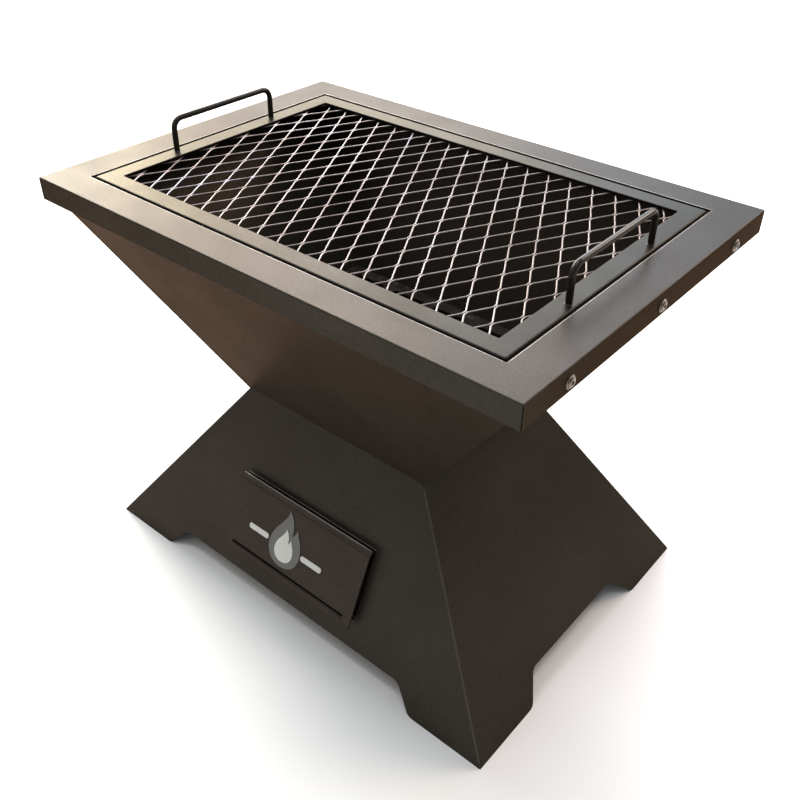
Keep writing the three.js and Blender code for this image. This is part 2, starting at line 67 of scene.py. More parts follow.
def cad_points(node):
    return [v.co.copy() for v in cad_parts[node].data.vertices]


def centre(node):
    low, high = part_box(node)
    return (low + high) / 2


def half_at(node, axis, z_end):
    """How far a wall reaches from the middle at its lowest (0) or highest (1) edge, and its z."""
    points = cad_points(node)
    z = (max if z_end else min)(p.z for p in points)
    return max(abs(p[axis]) for p in points if abs(p.z - z) < TOUCH), z


def furthest(points, direction):
    """The points that lie furthest along a direction."""
    reach = max(p.dot(direction) for p in points)
    return [p for p in points if reach - p.dot(direction) < TOUCH]


# ---- mesh helpers ----------------------------------------------------------------------------
def new_object(name, mesh, body):
    obj = bpy.data.objects.new(name, mesh)
    bpy.context.scene.collection.objects.link(obj)
    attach(obj, body)
    return obj


def mesh_from(name, verts, faces):
    """A smooth-shaded mesh with its faces pointing out."""
    mesh = bpy.data.meshes.new(name)
    mesh.from_pydata([tuple(v) for v in verts], [], faces)
    mesh.validate()
    work = bmesh.new()
    work.from_mesh(mesh)
    bmesh.ops.recalc_face_normals(work, faces=work.faces)
    work.to_mesh(mesh)
    work.free()
    for polygon in mesh.polygons:
        polygon.use_smooth = True
    return mesh


def sharpen(mesh, degrees):
    """Smooth shading everywhere except across edges sharper than this."""
    for polygon in mesh.polygons:
        polygon.use_smooth = True
    mesh.set_sharp_from_angle(angle=math.radians(degrees))


def rounded_rectangle(half_x, half_y, radius, steps):
    """Points round a rectangle, each corner an arc of the same number of steps."""
    points = []
    for i, (sx, sy) in enumerate(((1, 1), (-1, 1), (-1, -1), (1, -1))):
        for step in range(steps + 1):
            angle = math.pi / 2 * (i + step / steps)
            points.append((sx * (half_x - radius) + radius * math.cos(angle),
                           sy * (half_y - radius) + radius * math.sin(angle)))
    return points


def ring_of(name, levels, steps):
    """A closed ring through rounded rectangles given as (half_x, half_y, z, corner radius)."""
    loops = [[(x, y, z) for x, y in rounded_rectangle(hx, hy, radius, steps)]
             for hx, hy, z, radius in levels]
    count = len(loops[0])
    verts = [point for loop in loops for point in loop]
    faces = []
    for i in range(len(loops)):
        a, b = i * count, ((i + 1) % len(loops)) * count
        for j in range(count):
            k = (j + 1) % count
            faces.append((a + j, a + k, b + k, b + j))
    return mesh_from(name, verts, faces)


def arc(cx, cz, radius, start, end, steps):
    """(offset, height) points on an arc, in degrees, 0 outwards and 90 up."""
    angles = [math.radians(start + (end - start) * i / steps) for i in range(steps + 1)]
    return [(cx + radius * math.cos(angle), cz + radius * math.sin(angle)) for angle in angles]


def sweep(name, path, section):
    """A section (local x, y points) carried along a path of (point, normal, binormal), capped."""
    verts, faces = [], []
    count = len(section)
    for point, normal, binormal in path:
        verts += [point + normal * x + binormal * y for x, y in section]
    for i in range(len(path) - 1):
        a, b = i * count, (i + 1) * count
        faces += [(a + j, a + (j + 1) % count, b + (j + 1) % count, b + j) for j in range(count)]
    last = (len(path) - 1) * count
    faces.append(tuple(range(count)))
    faces.append(tuple(last + j for j in reversed(range(count))))
    return mesh_from(name, verts, faces)


def circle(radius, sides):
    angles = [2 * math.pi * i / sides for i in range(sides)]
    return [(radius * math.cos(angle), radius * math.sin(angle)) for angle in angles]


def lathe(name, profile, sides, place):
    """A profile of (radius, height), both ends on the axis, turned round local Z."""
    faces = []
    rings = profile[1:-1]
    verts = [place @ Vector((0, 0, profile[0][1]))]
    for radius, height in rings:
        verts += [place @ Vector((x, y, height)) for x, y in circle(radius, sides)]
    verts.append(place @ Vector((0, 0, profile[-1][1])))
    last = len(verts) - 1
    for j in range(sides):
        k = (j + 1) % sides
        faces.append((0, 1 + j, 1 + k))
        for i in range(len(rings) - 1):
            a, b = 1 + i * sides, 1 + (i + 1) * sides
            faces.append((a + j, b + j, b + k, a + k))
        tail = 1 + (len(rings) - 1) * sides
        faces.append((last, tail + k, tail + j))
    return mesh_from(name, verts, faces)


def join(name, meshes):
    """One mesh made of several, which are used up."""
    work = bmesh.new()
    for mesh in meshes:
        work.from_mesh(mesh)
        bpy.data.meshes.remove(mesh)
    joined = bpy.data.meshes.new(name)
    work.to_mesh(joined)
    work.free()
    return joined


def bead_between(name, start, end, radius):
    """A thin round bead along the line from start to end, very slightly uneven."""
    station, waver, waves_per_metre = 12 * MM, 0.08 * MM, 60
    along = (end - start).normalized()
    side = along.cross(UP)
    side = side.normalized() if side.length > 1e-4 else ACROSS
    other = along.cross(side)
    steps = max(2, int((end - start).length / station))
    path = []
    for i in range(steps + 1):
        point = start.lerp(end, i / steps)
        path.append((point + side * noise.noise(point * waves_per_metre) * waver, side, other))
    return sweep(name, path, circle(radius, 12))


def beads_round(half_x, half_y, z, radius):
    """Four beads along the sides of a level rectangle."""
    corners = [Vector((sx * half_x, sy * half_y, z)) for sx, sy in QUADRANTS]
    return [bead_between("bead", a, b, radius) for a, b in zip(corners, corners[1:] + corners[:1])]


# ---- materials -------------------------------------------------------------------------------
def srgb(r, g, b):
    """Linear colour from 0-255 display values."""
    def linear(c):
        c /= 255
        return c / 12.92 if c <= 0.04045 else ((c + 0.055) / 1.055) ** 2.4
    return linear(r), linear(g), linear(b), 1.0


class Nodes:
    """Shorthand for a material's node tree. Noise scales are in waves per metre of the object."""

    def __init__(self, name):
        self.material = bpy.data.materials.new(name)
        self.material.use_nodes = True
        self.tree = self.material.node_tree
        self.shader = self.tree.nodes["Principled BSDF"]
        self.place = self.add("ShaderNodeTexCoord").outputs["Object"]

    def add(self, kind, **inputs):
        node = self.tree.nodes.new(kind)
        for name, value in inputs.items():
            self.put(node, name.replace("_", " "), value)
        return node

    def put(self, node, name, value):
        socket = node.inputs[name]
        if isinstance(value, bpy.types.NodeSocket):
            self.tree.links.new(value, socket)
        else:
            socket.default_value = value

    def noise(self, scale, detail, roughness):
        node = self.add("ShaderNodeTexNoise", Vector=self.place, Scale=scale, Detail=detail,
                        Roughness=roughness)
        node.noise_type = "FBM"
        return node.outputs["Fac"]

    def ramp(self, value, *stops):
        """A colour for each (position, colour) stop, blended between them."""
        node = self.tree.nodes.new("ShaderNodeValToRGB")
        elements = node.color_ramp.elements
        while len(elements) < len(stops):
            elements.new(0.5)
        for element, (position, colour) in zip(elements, stops):
            element.position = position
            element.color = colour
        self.tree.links.new(value, node.inputs["Fac"])
        return node.outputs["Color"]

    def spread(self, value, low, high, from_low=0.3, from_high=0.7):
        """A value stretched from one range onto another; most noise lies in 0.3 to 0.7."""
        node = self.add("ShaderNodeMapRange")
        for name, x in (("Value", value), ("From Min", from_low), ("From Max", from_high),
                        ("To Min", low), ("To Max", high)):
            self.put(node, name, x)
        return node.outputs["Result"]

    def mix(self, factor, a, b, blend="MIX"):
        """Two colours mixed; the node's colour sockets share their names, so go by number."""
        node = self.tree.nodes.new("ShaderNodeMix")
        node.data_type, node.blend_type = "RGBA", blend
        for index, value in ((0, factor), (6, a), (7, b)):
            if isinstance(value, bpy.types.NodeSocket):
                self.tree.links.new(value, node.inputs[index])
            else:
                node.inputs[index].default_value = value
        return node.outputs[2]

    def bump(self, height, distance, strength, normal=None):
        node = self.add("ShaderNodeBump", Height=height, Distance=distance, Strength=strength)
        if normal is not None:
            self.put(node, "Normal", normal)
        return node.outputs["Normal"]

    def facing_up(self):
        """1 on faces that look up, 0 on upright and hanging ones."""
        normal = self.add("ShaderNodeNewGeometry").outputs["Normal"]
        split = self.add("ShaderNodeSeparateXYZ", Vector=normal)
        return self.spread(split.outputs["Z"], 0, 1, from_low=0.45, from_high=0.9)

    def finish(self, **inputs):
        for name, value in inputs.items():
            self.put(self.shader, name.replace("_", " "), value)
        return self.material


def grey(value):
    return value, value, value, 1.0


def powder_coat(name, dark, light, roughness, edge, top=None, flake=0.6, grain=1.0, gloss=0.0):
    """Powder coat: metal flake in a dull binder, with clouds, speckle, grain and orange peel.

    `edge` tints its sheen at grazing angles. Upward faces take the first colour of `top` there,
    and the second as a filter over the coat: painted highlight, tops lighter than the sides.
    """
    n = Nodes(name)
    cloud, peel, fine = n.noise(5.5, 4, 0.6), n.noise(230, 2, 0.5), n.noise(900, 2, 0.6)
    colour = n.mix(n.spread(cloud, 0, 1), dark, light)
    if top:
        # painted highlight: upward faces get a brighter sheen and a lighter colour
        up = n.facing_up()
        edge = n.mix(up, edge, top[0])
        colour = n.mix(up, colour, n.mix(1.0, colour, top[1], "MULTIPLY"))
    speckle = n.mix(n.spread(n.noise(300, 2, 0.6), 0, 1), grey(0.9), grey(1.1))
    colour = n.mix(1.0, colour, speckle, "MULTIPLY")
    edge = n.mix(1.0, edge, speckle, "MULTIPLY")
    fleck = n.spread(fine, 0.78, 1.22, 0.25, 0.75)
    colour = n.mix(1.0, colour, n.mix(fleck, grey(0.0), grey(1.0)), "MULTIPLY")
    rough = n.spread(n.noise(14, 3, 0.6), roughness - 0.035, roughness + 0.035)
    normal = n.bump(peel, 0.05 * MM * grain, 0.5)
    normal = n.bump(fine, 0.03 * MM * grain, 0.6, normal)
    return n.finish(Base_Color=colour, Metallic=flake, Roughness=rough, Specular_IOR_Level=gloss,
                    Specular_Tint=edge, Normal=normal)


def sooted(name, base, soot, ash, roughness=0.7):
    """Heat-blackened steel with soot clouds and pale ash dust."""
    n = Nodes(name)
    colour = n.mix(n.spread(n.noise(16, 6, 0.65), 0, 1), base, soot)
    dust = n.spread(n.noise(60, 8, 0.75), 0, 0.55, 0.52, 0.8)
    colour = n.mix(dust, colour, ash)
    rough = n.spread(n.noise(25, 4, 0.6), roughness - 0.12, roughness + 0.12)
    normal = n.bump(n.noise(420, 4, 0.65), 0.12 * MM, 0.8)
    return n.finish(Base_Color=colour, Roughness=rough, Metallic=0.15, Specular_IOR_Level=0.2,
                    Normal=normal)


def heated_steel(name):
    """Bare expanded steel: brushed grey with straw, brown and blue heat tints and soot spots."""
    n = Nodes(name)
    tint = n.ramp(n.noise(7, 3, 0.5), (0.3, srgb(150, 146, 146)), (0.46, srgb(140, 131, 128)),
                  (0.57, srgb(118, 107, 102)), (0.68, srgb(132, 132, 138)))
    soot = n.spread(n.noise(38, 6, 0.7), 0, 0.6, 0.56, 0.8)
    colour = n.mix(soot, tint, srgb(52, 48, 46))
    rough = n.spread(n.noise(90, 4, 0.6), 0.3, 0.5)
    normal = n.bump(n.noise(700, 3, 0.6), 0.06 * MM, 0.7)
    return n.finish(Base_Color=colour, Metallic=0.85, Roughness=rough, Normal=normal)


def stainless(name):
    """Lightly worn stainless steel with fine turning marks."""
    n = Nodes(name)
    colour = n.mix(n.spread(n.noise(160, 3, 0.6), 0, 1), srgb(102, 93, 84), srgb(138, 127, 117))
    rough = n.spread(n.noise(400, 3, 0.6), 0.24, 0.42)
    normal = n.bump(n.noise(1500, 3, 0.6), 0.03 * MM, 0.6)
    return n.finish(Base_Color=colour, Metallic=1.0, Roughness=rough, Normal=normal)


def enamel(name, tone):
    """Printed enamel: a flat tone with a faint grain."""
    n = Nodes(name)
    light = tuple(min(1, c * 1.12) for c in tone[:3]) + (1,)
    colour = n.mix(n.spread(n.noise(300, 4, 0.6), 0, 1), tone, light)
    rough = n.spread(n.noise(120, 3, 0.5), 0.42, 0.55)
    normal = n.bump(n.noise(900, 2, 0.6), 0.02 * MM, 0.5)
    return n.finish(Base_Color=colour, Roughness=rough, Normal=normal)


MATERIALS = {
    # rim_steel, body_steel, hopper_steel and drawer_steel are one powder coat; their tones and sheen
    # tints differ a little to match how each part is lit: painted light and shade
    "rim_steel": powder_coat("rim_steel", (0.042, 0.0375, 0.032, 1), (0.05, 0.045, 0.038, 1), 0.4,
                             (0.44, 0.37, 0.33, 1),
                             # tops lighter and with a brighter sheen than the sides: painted
                             # highlight
                             top=((1.0, 0.98, 0.97, 1), (1.1, 1.09, 1.09, 1))),
    "body_steel": powder_coat("body_steel", (0.045, 0.039, 0.033, 1), (0.055, 0.048, 0.04, 1), 0.45,
                              (0.7, 0.55, 0.5, 1)),
    "hopper_steel": powder_coat("hopper_steel", (0.043, 0.036, 0.0295, 1), (0.053, 0.0445, 0.0362, 1),
                                0.45, (0.6, 0.48, 0.42, 1)),
    "drawer_steel": powder_coat("drawer_steel", (0.047, 0.039, 0.034, 1), (0.057, 0.047, 0.041, 1),
                                0.45, (0.7, 0.55, 0.5, 1)),
    # near-black and matt: open joints at the rim's corners, and painted shade behind the air slot and
    # along the doorway's sill
    "joint_and_shade_black": powder_coat("joint_and_shade_black", (0.006, 0.005, 0.004, 1), (0.01, 0.008, 0.006, 1), 0.8,
                              (0.1, 0.1, 0.1, 1), flake=0.0),
    # pale bead coat: painted highlight on the cut edge round the rim's opening
    "cut_edge_highlight": powder_coat("cut_edge_highlight", (0.3, 0.285, 0.265, 1), (0.42, 0.4, 0.37, 1), 0.4,
                             (1, 1, 1, 1), flake=0.9),
    # lighter coat for the hem beads: painted highlight along lit edges
    "hem_highlight": powder_coat("hem_highlight", (0.14, 0.13, 0.12, 1), (0.22, 0.205, 0.19, 1), 0.4,
                             (0.9, 0.85, 0.8, 1)),
    # lighter coat for the base's corner seams: painted highlight along the corners
    "seam_highlight_coat": powder_coat("seam_highlight_coat", (0.075, 0.066, 0.057, 1), (0.1, 0.088, 0.077, 1), 0.45,
                               (0.8, 0.7, 0.62, 1)),
    "grate_frame_steel": powder_coat("grate_frame_steel", (0.0205, 0.0195, 0.0185, 1),
                                     (0.0255, 0.024, 0.023, 1), 0.4, (1.0, 0.96, 0.88, 1),
                                     flake=0.85),
    "handle_steel": powder_coat("handle_steel", (0.012, 0.01, 0.007, 1), (0.019, 0.016, 0.0115, 1),
                                0.3, (1, 1, 1, 1), flake=0.0, grain=0.35, gloss=0.3),
    "inner_steel": sooted("inner_steel", (0.018, 0.015, 0.013, 1), (0.009, 0.008, 0.007, 1),
                          (0.035, 0.032, 0.03, 1)),
    "charcoal_grate_steel": sooted("charcoal_grate_steel", (0.045, 0.034, 0.026, 1),
                                   (0.013, 0.012, 0.011, 1), (0.25, 0.235, 0.22, 1),
                                   roughness=0.75),
    "tray_steel": sooted("tray_steel", (0.04, 0.036, 0.032, 1), (0.018, 0.016, 0.015, 1),
                         (0.14, 0.13, 0.12, 1), roughness=0.65),
    "mesh_steel": heated_steel("mesh_steel"),
    "fastener_steel": stainless("fastener_steel"),
    "emblem_grey": enamel("emblem_grey", srgb(96, 96, 94)),
    "emblem_light": enamel("emblem_light", srgb(205, 205, 200)),
}


def paint(obj, coat):
    obj.data.materials.clear()
    obj.data.materials.append(MATERIALS[coat])


# ---- rim and cooking grate frame -------------------------------------------------------------
def rim_outside(inset, z):
    """A level of the rim's section, this far inside its outer edge."""
    sharpest = 0.4 * MM
    return RIM_HIGH.x - inset, RIM_HIGH.y - inset, z, max(RIM_CORNER - inset, sharpest)


def rim_opening(out, z):
    """A level of the rim's section, this far outside the edge of its opening."""
    corner = 2 * MM
    return GRATE_HIGH.x + SEAM + out, GRATE_HIGH.y + SEAM + out, z, corner + out


def folded_rim():
    """The rim: a flat border, its edges folded down on a radius, its cut edges eased."""
    ease, cut_ease, throat = 0.5 * MM, 0.6 * MM, 0.6 * MM
    shoulder = 2 * MM  # a loop this far inside the fold keeps the top flat
    low, under = RIM_LOW.z, RIM_TOP - SHEET
    levels = [rim_opening(0, under + ease)]
    levels += [rim_opening(*p) for p in arc(cut_ease, RIM_TOP - cut_ease, cut_ease, 180, 90, 5)]
    levels.append(rim_outside(FOLD + shoulder, RIM_TOP))
    levels += [rim_outside(-x, z) for x, z in arc(-FOLD, RIM_TOP - FOLD, FOLD, 90, 0, 8)]
    levels += [rim_outside(0, low + ease), rim_outside(ease, low)]
    levels += [rim_outside(SHEET - ease, low), rim_outside(SHEET, low + ease)]
    levels += [rim_outside(-x, z) for x, z in arc(-SHEET - throat, under - throat, throat, 0, 90, 3)]
    levels.append(rim_opening(ease, under))
    return ring_of("rim_shell", levels, steps=6)


def grate_bars():
    """The cooking grate's flat frame with rounded upper edges."""
    half_x, half_y = GRATE_HIGH.x, GRATE_HIGH.y
    open_x, open_y = half_x - GRATE_BAR, half_y - GRATE_BAR
    roll, ease, small = 2.4 * MM, 1.2 * MM, 0.5 * MM
    low, high = GRATE_LOW.z, GRATE_HIGH.z
    corner, open_corner = 2.5 * MM, 1.5 * MM
    levels = [(half_x, half_y, low + small, corner)]
    for offset, height in arc(-roll, high - roll, roll, 0, 90, 8):
        levels.append((half_x + offset, half_y + offset, height, corner))
    for offset, height in arc(ease, high - ease, ease, 90, 180, 5):
        levels.append((open_x + offset, open_y + offset, height, open_corner + offset))
    levels.append((open_x, open_y, low + small, open_corner))
    levels.append((open_x + small, open_y + small, low, open_corner + small))
    levels.append((half_x - small, half_y - small, low, corner))
    return ring_of("grate_bars", levels, steps=5)


def build_rim_and_frame():
    for name, mesh, body, slot, node in (
        ("rim_shell", folded_rim(), STAND, "rim_steel", "rim_frame"),
        ("grate_bars", grate_bars(), GRATE, "grate_frame_steel", "grate_frame"),
    ):
        sharpen(mesh, 50)
        obj = new_object(name, mesh, body)
        obj.modifiers.new("weighted", "WEIGHTED_NORMAL").keep_sharp = True
        paint(obj, slot)
        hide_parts(node)


def build_rim_corner_joints():
    """Dark open joints at the rim's upright corners."""
    radius, sunk, corner_cut = 0.7 * MM, 0.5, 0.3  # shares of the bead's and the corner's radius
    inset = corner_cut * RIM_CORNER + sunk * radius
    joints = []
    for sx, sy in QUADRANTS:
        foot = Vector((sx * (RIM_HIGH.x - inset), sy * (RIM_HIGH.y - inset), RIM_LOW.z + radius))
        head = Vector((foot.x, foot.y, RIM_TOP - FOLD))
        joints.append(bead_between("joint", foot, head, radius))
    obj = new_object("rim_corner_joints", join("rim_corner_joints", joints), STAND)
    paint(obj, "joint_and_shade_black")


def build_opening_edge():
    """A pale bead round the rim's opening: a painted highlight on its cut edge."""
    radius, back, sunk = 0.6 * MM, 0.8, 0.9  # its centre's place in shares of its radius
    inset = SEAM + back * radius
    edges = beads_round(GRATE_HIGH.x + inset, GRATE_HIGH.y + inset, RIM_TOP - sunk * radius, radius)
    obj = new_object("opening_edge", join("opening_edge", edges), STAND)
    paint(obj, "cut_edge_highlight")


# ---- expanded metal --------------------------------------------------------------------------
MESH_PITCH_X = 31.8 * MM  # short way of a diamond
MESH_PITCH_Y = 58.15 * MM  # long way of a diamond
MESH_SHIFT = (-1.25 * MM, 15.6 * MM)  # the pattern's place, as seen in the photograph
STRAND_WIDTH = 2.1 * MM
STRAND_THICKNESS = 1.6 * MM
STRAND_TILT = math.radians(14)
BOND_LENGTH = 6.5 * MM
# How a strand runs past a bond: (place in bond lengths, share of its full swing to the side).
BOND_SHAPE = ((-0.68, 0.86), (-0.42, 0.98), (0, 1), (0.42, 0.98), (0.68, 0.86))


def strand_section():
    """A slit strand's section, with eased corners, tilted as the stretching leaves it."""
    w, t, ease = STRAND_WIDTH / 2, STRAND_THICKNESS / 2, 0.5 * MM
    flat = [(w - ease, -t), (w, ease - t), (w, t - ease), (w - ease, t),
            (ease - w, t), (-w, t - ease), (-w, ease - t), (ease - w, -t)]
    cos, sin = math.cos(STRAND_TILT), math.sin(STRAND_TILT)
    return [(x * cos + z * sin, z * cos - x * sin) for x, z in flat]


def strand_stations(index, low_y, high_y):
    """Centres of one zigzag strand, which is bonded to its neighbours on each side in turn."""
    step = MESH_PITCH_Y / 2
    reach = MESH_PITCH_X / 4 - STRAND_WIDTH / 2 * math.cos(STRAND_TILT)
    lift = STRAND_WIDTH / 2 * math.sin(STRAND_TILT)
    middle = index * MESH_PITCH_X / 2 + MESH_SHIFT[0]
    first = math.floor((low_y - MESH_SHIFT[1]) / step) - 1
    last = math.ceil((high_y - MESH_SHIFT[1]) / step) + 1
    stations = []
    for row in range(first, last + 1):
        side = 1 if (row + index) % 2 == 0 else -1
        y = row * step + MESH_SHIFT[1]
        for offset, share in BOND_SHAPE:
            stations.append(Vector((middle + side * reach * share, y + offset * BOND_LENGTH,
                                    side * lift * share)))
    inside = [p for p in stations if low_y < p.y < high_y]
    before = [p for p in stations if p.y <= low_y][-1]
    after = [p for p in stations if p.y >= high_y][0]
    start = before.lerp(inside[0], (low_y - before.y) / (inside[0].y - before.y))
    end = inside[-1].lerp(after, (high_y - inside[-1].y) / (after.y - inside[-1].y))
    return [start, *inside, end]


def strand_path(index, low_y, high_y, level):
    """A strand's centre line, wandering a little as stretched metal does."""
    wander, sideways, rise = 0.35 * MM, 0.6, 0.08 * MM
    waves_per_metre, layer = 9, 0.3
    path = []
    for p in strand_stations(index, low_y, high_y):
        wave = noise.noise(Vector((p.x * waves_per_metre, p.y * waves_per_metre, layer))) * wander
        place = Vector((p.x + wave * sideways, p.y, level + p.z + min(wave, rise)))
        path.append((place, ACROSS, UP))
    return path


def build_expanded_mesh():
    below_frame, short_of_edge = 0.1 * MM, 1 * MM
    low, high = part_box("cooking_mesh")
    section = strand_section()
    height = max(z for _, z in section) + STRAND_WIDTH / 2 * math.sin(STRAND_TILT)
    level = high.z - height - below_frame
    columns = int(high.x / (MESH_PITCH_X / 2))
    strands = []
    for index in range(-columns, columns + 1):
        path = strand_path(index, low.y + short_of_edge, high.y - short_of_edge, level)
        strands.append(sweep("strand", path, section))
    mesh = join("expanded_mesh", strands)
    sharpen(mesh, 35)
    obj = new_object("expanded_mesh", mesh, GRATE)
    paint(obj, "mesh_steel")
    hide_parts("cooking_mesh")


# ---- handles ---------------------------------------------------------------------------------
def bail_path(x, half, low, high, bend):
    """Up one leg, over two round bends and down the other, in the plane of x."""
    steps = 10
    points = [(-half, low)]
    points += [(y, z) for y, z in arc(bend - half, high - bend, bend, 180, 90, steps)]
    points += [(y, z) for y, z in arc(half - bend, high - bend, bend, 90, 0, steps)]
    points.append((half, low))
    path = []
    for i, (y, z) in enumerate(points):
        before, after = points[max(i - 1, 0)], points[min(i + 1, len(points) - 1)]
        along = Vector((0, after[0] - before[0], after[1] - before[1])).normalized()
        path.append((Vector((x, y, z)), ACROSS, along.cross(ACROSS)))
    return path


def weld_bead(name, x, y, z, rod):
    """A small fillet weld, slightly rippled, round the foot of a leg."""
    rise, ripple, ripples_per_metre = 0.9 * MM, 0.15 * MM, 420
    profile = [(0, 0), (rod + 0.7 * MM, 0), (rod + 0.35 * MM, 0.2 * MM), (rod + 0.1 * MM, 0.5 * MM),
               (rod - 0.2 * MM, rise), (0, rise)]
    mesh = lathe(name, profile, 28, Matrix.Translation((x, y, z)))
    for vertex in mesh.vertices:
        out = Vector((vertex.co.x - x, vertex.co.y - y, 0))
        push = noise.noise(vertex.co * ripples_per_metre) * ripple
        if out.length > rod:
            vertex.co += out.normalized() * push
    return mesh


def build_handles():
    bend, sunk = 13 * MM, 0.2 * MM
    for side in ("right", "left"):
        node = f"grate_handle_{side}"
        low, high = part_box(node)
        rod = (high.x - low.x) / 2
        x = (low.x + high.x) / 2
        half = (high.y - low.y) / 2 - rod
        path = bail_path(x, half, GRATE_HIGH.z - sunk, high.z - rod, bend)
        bail = sweep(node, path, circle(rod, 20))
        beads = [weld_bead("bead", x, sy * half, GRATE_HIGH.z, rod) for sy in (-1, 1)]
        mesh = join(f"bail_{side}", [bail, *beads])
        sharpen(mesh, 50)
        obj = new_object(f"bail_{side}", mesh, GRATE)
        paint(obj, "handle_steel")
        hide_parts(node)


# ---- screws ----------------------------------------------------------------------------------
SOCKET = 2.3 * MM  # corner radius of the hexagon


def screw_profile():
    """(radius, height) from the socket's floor over the head and down the shank."""
    head, dome, depth = 7.4 * MM, 3.4 * MM, 2.0 * MM
    crown, crown_foot, mouth = 6.1 * MM, 1.15 * MM, SOCKET + 0.35 * MM
    shank, length = 3.0 * MM, 14 * MM
    brow = dome - 0.05 * MM
    profile = [(0, dome - depth), (SOCKET * 0.98, dome - depth),
               (SOCKET, dome - depth + 0.15 * MM), (SOCKET, dome - 0.35 * MM), (mouth, brow)]
    for i in range(1, 9):
        turn = i / 8 * math.pi / 2
        profile.append((mouth + (crown - mouth) * math.sin(turn),
                        crown_foot + (brow - crown_foot) * math.cos(turn)))
    profile += [(crown + 0.4 * MM, crown_foot - 0.2 * MM), (head - 0.25 * MM, 0.85 * MM),
                (head, 0.6 * MM), (head, 0.15 * MM), (head - 0.2 * MM, 0), (shank, 0),
                (shank, 0.6 * MM - length), (shank - 0.5 * MM, -length), (0, -length)]
    return profile


def screw_mesh(name, place):
    """Flanged button head and shank along local Z, its round socket pressed to a hexagon."""
    mesh = lathe(name, screw_profile(), 36, Matrix.Identity(4))
    sector = math.pi / 3
    for vertex in mesh.vertices:
        radius = math.hypot(vertex.co.x, vertex.co.y)
        if 0.5 * SOCKET < radius < SOCKET + 0.1 * MM and vertex.co.z > 0:
            angle = math.atan2(vertex.co.y, vertex.co.x)
            pull = math.cos(sector / 2) / math.cos((angle % sector) - sector / 2)
            vertex.co.x *= pull
            vertex.co.y *= pull
    mesh.transform(place)
    sharpen(mesh, 32)
    return mesh


def build_screws():
    off_rim = 0.1 * MM
    for side, sign in (("right", 1), ("left", -1)):
        turn = Matrix.Rotation(sign * math.pi / 2, 4, "Y")
        for i in (1, 2, 3):
            node = f"rim_screw_{side}_{i}"
            middle = centre(node)
            seat = Vector((sign * (RIM_HIGH.x + off_rim), middle.y, middle.z))
            stop = math.radians(17 + 31 * i + 11 * sign)  # each is tightened to another angle
            place = Matrix.Translation(seat) @ turn @ Matrix.Rotation(stop, 4, "Z")
            name = f"screw_{side}_{i}"
            obj = new_object(name, screw_mesh(name, place), STAND)
            paint(obj, "fastener_steel")
            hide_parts(node)


# ---- walls and their seams -------------------------------------------------------------------
def shade_smooth_group():
    group = bpy.data.node_groups.new("shade_smooth", "GeometryNodeTree")
    group.interface.new_socket("Geometry", in_out="INPUT", socket_type="NodeSocketGeometry")
    group.interface.new_socket("Geometry", in_out="OUTPUT", socket_type="NodeSocketGeometry")
    start, end = group.nodes.new("NodeGroupInput"), group.nodes.new("NodeGroupOutput")
    smooth = group.nodes.new("GeometryNodeSetShadeSmooth")
    group.links.new(start.outputs[0], smooth.inputs[0])
    group.links.new(smooth.outputs[0], end.inputs[0])
    return group


SMOOTH = shade_smooth_group()


def soften(obj, radius, segments):
    """Flat faces merged, edges eased by a small radius, and normals that keep faces flat."""
    flat_within, edge_from = math.radians(0.5), math.radians(28)
    planar = obj.modifiers.new("planar", "DECIMATE")
    planar.decimate_type = "DISSOLVE"
    planar.angle_limit = flat_within
    bevel = obj.modifiers.new("eased", "BEVEL")
    bevel.width, bevel.segments = radius, segments
    bevel.limit_method, bevel.angle_limit = "ANGLE", edge_from
    bevel.use_clamp_overlap = True
    smooth = obj.modifiers.new("smooth", "NODES")
    smooth.node_group = SMOOTH
    obj.modifiers.new("weighted", "WEIGHTED_NORMAL")


def keep(node, slot, radius=0.4 * MM, segments=3, coat=None):
    """Show a CAD node with eased edges, painted with its slot's material or another coat."""
    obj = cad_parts[node]
    paint(obj, coat or slot)
    soften(obj, radius, segments)


# hopper_steel is the body's coat a little darker and duller: painted shade on the hopper
WALL_COAT = {"hopper": "hopper_steel", "base": "body_steel"}
# the base's corner seams take a lighter coat: painted highlight along the corners
SEAM_COAT = {"hopper": "hopper_steel", "base": "seam_highlight_coat"}
FAR_END = {"hopper": 1, "base": 0}  # 1 where the walls spread upwards from the waist
WELD = 1.3 * MM  # radius of a dressed weld bead
WELD_INSET = 0.75 * WELD


def build_plates():
    for level, coat in WALL_COAT.items():
        for side in ("front", "back", "right", "left"):
            keep(f"{level}_{side}_plate", "body_steel", radius=0.45 * MM, coat=coat)


def corner_point(level, z_end):
    """Where the welds run on the right-hand back corner, at a level's lower or upper end."""
    x, z = half_at(f"{level}_right_plate", 0, z_end)
    y, _ = half_at(f"{level}_front_plate", 1, z_end)
    return Vector((x - WELD_INSET, y - WELD_INSET, z))


def build_wall_seams():
    """Dressed welds along the corners of the hopper and the base, and round the waist."""
    short_of_end = 3 * MM
    waist = corner_point("base", 1)
    for level, far_end in FAR_END.items():
        corner = corner_point(level, far_end)
        beads = []
        for sx, sy in QUADRANTS:
            near = Vector((sx * waist.x, sy * waist.y, waist.z))
            far = Vector((sx * corner.x, sy * corner.y, corner.z))
            stop = 1 - short_of_end / (far - near).length
            beads.append(bead_between("bead", near, near.lerp(far, stop), WELD))
        name = f"{level}_corner_seams"
        obj = new_object(name, join(name, beads), STAND)
        paint(obj, SEAM_COAT[level])
    ring = join("waist_seam", beads_round(*waist, WELD))
    paint(new_object("waist_seam", ring, STAND), "body_steel")


